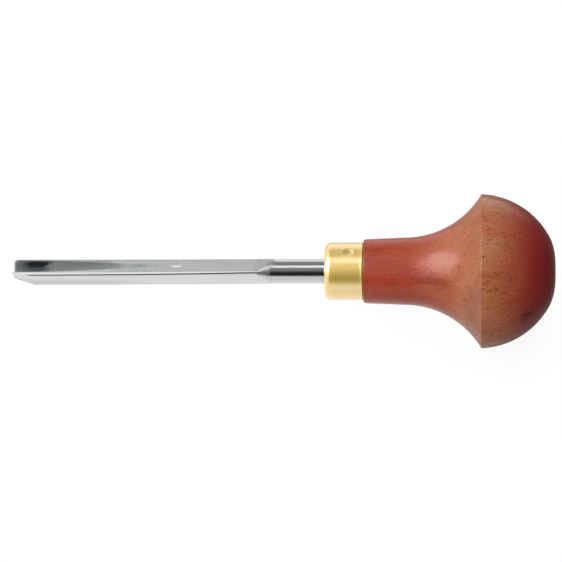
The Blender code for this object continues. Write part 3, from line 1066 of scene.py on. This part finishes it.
def brass_material(settings):
    """Satin brass under clear lacquer, with fine turned rings, and darker in the punch marks."""
    material, tree, shader, coords = new_material("turned_brass")
    coords = coords["Object"]
    lines = polish_lines(tree, stretched(tree, coords, TURNED_LINES))
    haze = handling_haze(tree, coords, scale=300.0, glossy=0.38, dull=0.44)
    wear = edge_wear(tree, coords, scale=2200.0, break_up=0.5)
    bright = tuple(min(1.0, channel * RUBBED_BRASS) for channel in settings.brass)
    base = painted(
        tree,
        settings.brass,
        (haze["Cloud"], 0.08, settings.tarnish),
        (wear["Rubbed"], 1.0, bright),
        (wear["Grime"], 0.6, settings.tarnish),
    )
    looks = {
        "Base Color": base,
        "Roughness": haze["Roughness"],
        "Metallic": 0.62,
        "Coat Weight": 1.0,
        "Coat Roughness": 0.22,
        "Coat IOR": 3.5,
        "Normal": bump(tree, lines["Height"], 0.25, LINE_DEPTH),
    }
    feed(tree, shader, looks)
    return material


def wood_material(settings):
    """Red-stained hardwood with its grain along the axis, under a thin clear finish.

    The stain pales along the flare. On it lie growth rings, blotches, streaks, fibres, a dark vein, pale
    and dark flecks, and a painted shade under the rim. The dome has red end grain and a small knot.
    """
    material, tree, shader, coords = new_material("lacquered_wood")
    axial = parts_of(tree, coords["Normal"])["X"]
    coords = coords["Object"]
    along, across, up = parts_of(tree, coords)
    fibre = grain(tree, coords, along=420.0, across=5200.0, detail=3.0, roughness=0.6)
    dark_noise = grain(tree, coords, along=520.0, across=2700.0, detail=1.5, offset=(3.1, 7.7, 1.3))
    pale_noise = grain(tree, coords, along=420.0, across=2600.0, detail=1.5, offset=(9.4, 2.2, 5.8))
    mottle = grain(tree, coords, along=60.0, across=110.0, detail=3.0)
    blotch = grain(tree, coords, along=95.0, across=300.0, detail=2.0)
    streak = grain(tree, coords, along=30.0, across=420.0, detail=1.0)
    ring_inputs = {
        "Vector": stretched(tree, coords, (0.12, 1.0, 1.0), (0.0, 0.034, -0.021)),
        "Scale": 120.0,
        "Distortion": 2.4,
        "Detail": 3.0,
        "Detail Scale": 1.4,
    }
    ring_settings = {"wave_type": "RINGS", "rings_direction": "X"}
    rings = add_node(tree, "ShaderNodeTexWave", ring_settings, ring_inputs).outputs["Fac"]
    from_knot = measured(tree, "DISTANCE", coords, settings.knot_place)
    knot = ranged(tree, shifted(tree, from_knot, pale_noise, KNOT_RAGS), KNOT_EDGE)
    turn = math_node(tree, "ARCTAN2", up, product(tree, across, -1.0))
    turn = shifted(tree, turn, mottle, TURN_DRIFT)
    vein = product(
        tree,
        ranged(tree, turn, VEIN_LOW),
        ranged(tree, turn, VEIN_HIGH),
        ranged(tree, along, VEIN_FRONT),
        ranged(tree, along, VEIN_BACK),
    )
    # Painted shade on the flare next to the rim, low on the near side
    painted_rim_shade = product(
        tree,
        ranged(tree, along, RIM_SHADE_FRONT),
        ranged(tree, axial, RIM_SHADE_FACING),
        ranged(tree, turn, RIM_SHADE_HIGH),
    )
    dark_fleck = ranged(tree, dark_noise, DARK_FLECKS)
    fleck_depth = ranged(tree, along, FLECKS_DEEPEN, to=(0.5, 0.75))
    wear = edge_wear(tree, coords, scale=1500.0, break_up=0.7)
    haze = handling_haze(tree, coords, scale=150.0, glossy=0.25, dull=0.33)
    stain = shifted(tree, along, mottle, STAIN_DRIFT)
    base = painted(
        tree,
        settings.red,
        (ranged(tree, stain, STAIN_PALES), 1.0, settings.orange),
        (rings, 0.09, settings.fleck),
        (ranged(tree, blotch, BLOTCHES), 0.25, settings.red),
        (ranged(tree, streak, STREAKS), 0.20, settings.fleck),
        (ranged(tree, fibre, FIBRES), 0.20, settings.fleck),
        (vein, 0.45, settings.fleck),
        (ranged(tree, pale_noise, PALE_FLECKS), 0.30, settings.orange),
        (dark_fleck, fleck_depth, settings.fleck),
        # Painted shade under the rim
        (painted_rim_shade, 0.35, settings.fleck),
        (ranged(tree, axial, END_GRAIN), 1.0, settings.end_grain),
        (knot, 0.95, settings.knot),
        (wear["Rubbed"], 0.15, settings.orange),
        (wear["Grime"], 1.0, settings.fleck),
    )
    pits = shifted(tree, fibre, dark_fleck, -1.0)
    looks = {
        "Base Color": base,
        "Roughness": haze["Roughness"],
        "Specular IOR Level": 0.40,
        "Normal": bump(tree, pits, 0.2, PORE_DEPTH),
    }
    feed(tree, shader, looks)
    return material


# Stage


# Places on the floor where a look begins and where it is full, in metres along, across and outwards
PAPER_RIGHT = (0.05, -0.025)
MIRROR_RIGHT = (0.02, -0.03)
PAPER_FRONT = (-0.12, -0.04)
PAPER_BACK = (0.075, 0.045)
MIRROR_FRONT = (-0.018, -0.005)
SHADOW_FADES = (0.20, 0.45)

# Greys of the paper: far out, under the tool, and as the eye sees it in the shadow
FAR_PAPER = 0.14
NEAR_PAPER = 0.74
SEEN_PAPER = 0.86

# Strength of the white that the eye sees, the floor's size and squares, the space under the rim, and how
# far behind the edge the keel rests on the floor
FLOOR_GLOW = 1.045
FLOOR_SIZE = 4.0
FLOOR_SQUARES = 8
FLOOR_GAP = 0.0001
KEEL_REST = 0.0045

# Light of the room, as (degrees from the camera's side over the ceiling to the back wall, level)
STUDIO_RAMP = (
    (0.0, 0.05),
    (3.0, 0.015),
    (24.0, 0.015),
    (34.0, 0.10),
    (44.0, 0.22),
    (70.0, 0.35),
    (96.0, 0.30),
    (112.0, 0.26),
    (132.0, 0.36),
    (141.0, 0.72),
    (152.0, 1.0),
    (180.0, 1.5),
)
HALF_TURN = 180.0

# Where the room's sides begin and where they are full, by the X of the way there, and their levels
LEFT_SIDE = (-0.05, -0.75)
LEFT_LEVEL = 0.85
RIGHT_SIDE = (0.10, 0.70)
RIGHT_LEVEL = 0.12

# Lights: name, setting of the power, place from the picture's middle, size, and what it isn't seen by
SOFTBOXES = (
    ("top_softbox", "top_light", (0.0, -0.076, 0.62), (1.0, 0.22), ()),
    ("key_softbox", "key_light", (-0.48, -0.18, 0.48), (0.60, 0.52), ("visible_diffuse",)),
    ("fill", "fill_light", (-0.30, -0.66, 0.62), (0.8, 0.8), ("visible_glossy",)),
    ("back_fill", "back_light", (-0.10, 0.60, 0.60), (0.8, 0.8), ("visible_glossy",)),
)


def floor_material(shadow):
    """White paper. The eye sees it as pure white with a share of its real shadow, and with none far out.

    What it lights, and what mirrors it, is paper that is bright under the tool and dim further out.
    """
    material, tree, shader, coords = new_material("white_floor")
    coords = coords["Object"]
    rays = tree.nodes.new("ShaderNodeLightPath").outputs
    along, across, _ = parts_of(tree, coords)
    back = ranged(tree, across, PAPER_BACK, to=(0.2, 1.0))
    inwards = product(tree, ranged(tree, across, PAPER_FRONT), back)
    bright = product(tree, ranged(tree, along, PAPER_RIGHT), inwards)
    paper = mixed(tree, bright, grey(FAR_PAPER), grey(NEAR_PAPER))
    paper = mixed(tree, rays["Is Camera Ray"], paper, grey(SEEN_PAPER))
    feed(tree, shader, {"Base Color": paper, "Roughness": 0.9, "Specular IOR Level": 0.0})
    glow = add_node(
        tree, "ShaderNodeEmission", inputs={"Color": (1.0, 1.0, 1.0, 1.0), "Strength": FLOOR_GLOW}
    )
    shade = ranged(tree, measured(tree, "LENGTH", coords), SHADOW_FADES, to=(shadow, 0.0))
    seen = product(tree, rays["Is Camera Ray"], math_node(tree, "SUBTRACT", 1.0, shade))
    front = ranged(tree, across, MIRROR_FRONT, to=(0.25, 0.92))
    under = product(tree, inwards, ranged(tree, along, MIRROR_RIGHT), front)
    mirrored = product(tree, rays["Is Glossy Ray"], under)
    whiteness = math_node(tree, "ADD", seen, mirrored)
    surface_inputs = {0: whiteness, 1: shader.outputs["BSDF"], 2: glow.outputs["Emission"]}
    surface = add_node(tree, "ShaderNodeMixShader", inputs=surface_inputs)
    feed(tree, tree.nodes["Material Output"], {"Surface": surface.outputs["Shader"]})
    return material


def add_floor(rim_x, shadow):
    """The floor under the tool, which lies on its rim and on the keel behind the bevel."""
    rim_place = Vector((rim_x, 0.0, HANDLE_LOW.z))
    keel_place = Vector((BLADE_LOW.x + KEEL_REST, 0.0, BLADE_LOW.z))
    slope = math.atan2(rim_place.z - keel_place.z, rim_place.x - keel_place.x)
    mesh = bpy.data.meshes.new("floor")
    bm = bmesh.new()
    bmesh.ops.create_grid(bm, x_segments=FLOOR_SQUARES, y_segments=FLOOR_SQUARES, size=FLOOR_SIZE)
    bm.to_mesh(mesh)
    bm.free()
    mesh.materials.append(floor_material(shadow))
    floor = bpy.data.objects.new("floor", mesh)
    floor.rotation_euler = (0.0, -slope, 0.0)
    floor.location = rim_place - Vector((0.0, 0.0, FLOOR_GAP))
    bpy.context.scene.collection.objects.link(floor)


def add_softbox(name, target, offset, size, power, unseen_by):
    """A soft light that points at the target from this offset."""
    light = bpy.data.lights.new(name, "AREA")
    light.shape = "RECTANGLE"
    light.size, light.size_y = size
    light.energy = power
    lamp = bpy.data.objects.new(name, light)
    lamp.location = target + offset
    lamp.rotation_euler = offset.to_track_quat("Z", "Y").to_euler()
    for rays in ("visible_camera", *unseen_by):
        setattr(lamp, rays, False)
    bpy.context.scene.collection.objects.link(lamp)


def add_world():
    """A white studio to the eye. What lights the tool, and what it mirrors, is a room.

    The room has a pale back wall, a dim ceiling and right side, a bright left side, and darkness behind
    the camera.
    """
    world = bpy.data.worlds.new("studio")
    world.use_nodes = True
    bpy.context.scene.world = world
    tree = world.node_tree
    parts = parts_of(tree, tree.nodes.new("ShaderNodeTexCoord").outputs["Generated"])
    front = product(tree, parts["Y"], -1.0)
    turn = math_node(tree, "ARCTAN2", parts["Z"], front)
    turn = math_node(tree, "DIVIDE", turn, math.pi, clamp=True)
    ramp = add_node(tree, "ShaderNodeValToRGB", inputs={"Fac": turn})
    stops = ramp.color_ramp.elements
    while len(stops) < len(STUDIO_RAMP):
        stops.new(1.0)
    for stop, (degrees, level) in zip(stops, STUDIO_RAMP):
        stop.position = degrees / HALF_TURN
        stop.color = (*grey(level), 1.0)
    eye = tree.nodes.new("ShaderNodeLightPath").outputs["Is Camera Ray"]
    room = painted(
        tree,
        ramp.outputs["Color"],
        (ranged(tree, parts["X"], LEFT_SIDE), 1.0, grey(LEFT_LEVEL)),
        (ranged(tree, parts["X"], RIGHT_SIDE), 1.0, grey(RIGHT_LEVEL)),
        (eye, 1.0, grey(1.0)),
    )
    feed(tree, tree.nodes["Background"], {"Color": room, "Strength": 1.0})


def add_camera(settings):
    """The camera of the photograph's view. It is rolled so that the tool's axis lies level."""
    turn = settings.view_turn
    height = settings.view_height
    back = Vector(
        (
            math.sin(turn) * math.cos(height),
            -math.cos(turn) * math.cos(height),
            math.sin(height),
        )
    )
    axis = Vector((1.0, 0.0, 0.0))
    right = (axis - back * axis.dot(back)).normalized()
    up = back.cross(right)
    aim = axis * settings.aim_x - up * settings.aim_drop
    data = bpy.data.cameras.new("camera")
    data.lens = data.sensor_width * settings.view_distance / settings.view_width
    data.clip_start = 0.01
    camera = bpy.data.objects.new("camera", data)
    turned_to = Matrix((right, up, back)).transposed().to_4x4()
    camera.matrix_world = Matrix.Translation(aim + back * settings.view_distance) @ turned_to
    bpy.context.scene.collection.objects.link(camera)
    bpy.context.scene.camera = camera


# Operators, panel and the add-on's frame


class CHISEL_OT_add_blade(bpy.types.Operator):
    """Add the steel blade with its channel, bevels, neck, shank and tang"""

    bl_idname = "chisel.add_blade"
    bl_label = "Add Blade"

    def execute(self, context):
        settings = context.scene.chisel_blade
        shape = BladeShape(settings, FERRULE_LOW.x + context.scene.chisel_ferrule.front_wall)
        materials = [steel_material(settings, zone, *look) for zone, look in enumerate(STEEL_FINISHES)]
        add_piece("blade_steel", shape.mesh(), "blade", materials, SHARP_STEEL)
        return {"FINISHED"}


class CHISEL_OT_add_ferrule(bpy.types.Operator):
    """Add the brass ferrule with its punch marks"""

    bl_idname = "chisel.add_ferrule"
    bl_label = "Add Ferrule"

    def execute(self, context):
        settings = context.scene.chisel_ferrule
        bm = ferrule_mesh(settings, context.scene.chisel_blade.shank_radius)
        add_piece("ferrule_brass", bm, "ferrule", [brass_material(settings)], SHARP_TURNED)
        return {"FINISHED"}


class CHISEL_OT_add_handle(bpy.types.Operator):
    """Add the turned wooden palm handle"""

    bl_idname = "chisel.add_handle"
    bl_label = "Add Handle"

    def execute(self, context):
        settings = context.scene.chisel_handle
        bm = handle_mesh(settings, context.scene.chisel_ferrule, context.scene.chisel_blade)
        add_piece("handle_wood", bm, "handle", [wood_material(settings)], SHARP_TURNED)
        return {"FINISHED"}


class CHISEL_OT_set_stage(bpy.types.Operator):
    """Set the floor, the lights, the studio and the camera"""

    bl_idname = "chisel.set_stage"
    bl_label = "Set Stage"

    def execute(self, context):
        settings = context.scene.chisel_stage
        _, _, rim_x = handle_places(context.scene.chisel_handle, context.scene.chisel_ferrule)
        add_floor(rim_x, settings.shadow)
        middle = Vector((settings.aim_x, 0.0, 0.0))
        for name, setting, offset, size, unseen_by in SOFTBOXES:
            add_softbox(name, middle, Vector(offset), size, getattr(settings, setting), unseen_by)
        add_world()
        add_camera(settings)
        context.scene.view_settings.view_transform = "Standard"
        return {"FINISHED"}


class CHISEL_PT_sidebar(bpy.types.Panel):
    """Lists the chisel's pieces and their settings"""

    bl_idname = "CHISEL_PT_sidebar"
    bl_label = "Palm Carving Chisel"
    bl_space_type = "VIEW_3D"
    bl_region_type = "UI"
    bl_category = "Chisel"

    def draw(self, context):
        for operator, settings_name in STEPS:
            box = self.layout.box()
            box.operator(operator.bl_idname)
            settings = getattr(context.scene, settings_name)
            for name in settings.__annotations__:
                box.prop(settings, name)


SETTINGS = {
    "chisel_blade": ChiselBladeSettings,
    "chisel_ferrule": ChiselFerruleSettings,
    "chisel_handle": ChiselHandleSettings,
    "chisel_stage": ChiselStageSettings,
}

STEPS = (
    (CHISEL_OT_add_blade, "chisel_blade"),
    (CHISEL_OT_add_ferrule, "chisel_ferrule"),
    (CHISEL_OT_add_handle, "chisel_handle"),
    (CHISEL_OT_set_stage, "chisel_stage"),
)


def register():
    for name, settings in SETTINGS.items():
        bpy.utils.register_class(settings)
        setattr(bpy.types.Scene, name, PointerProperty(type=settings))
    for operator, _ in STEPS:
        bpy.utils.register_class(operator)
    bpy.utils.register_class(CHISEL_PT_sidebar)


def unregister():
    bpy.utils.unregister_class(CHISEL_PT_sidebar)
    for operator, _ in reversed(STEPS):
        bpy.utils.unregister_class(operator)
    for name, settings in reversed(SETTINGS.items()):
        delattr(bpy.types.Scene, name)
        bpy.utils.unregister_class(settings)


def main():
    register()
    bpy.ops.chisel.add_blade()
    bpy.ops.chisel.add_ferrule()
    bpy.ops.chisel.add_handle()
    bpy.ops.chisel.set_stage()


if __name__ == "__main__":
    main()
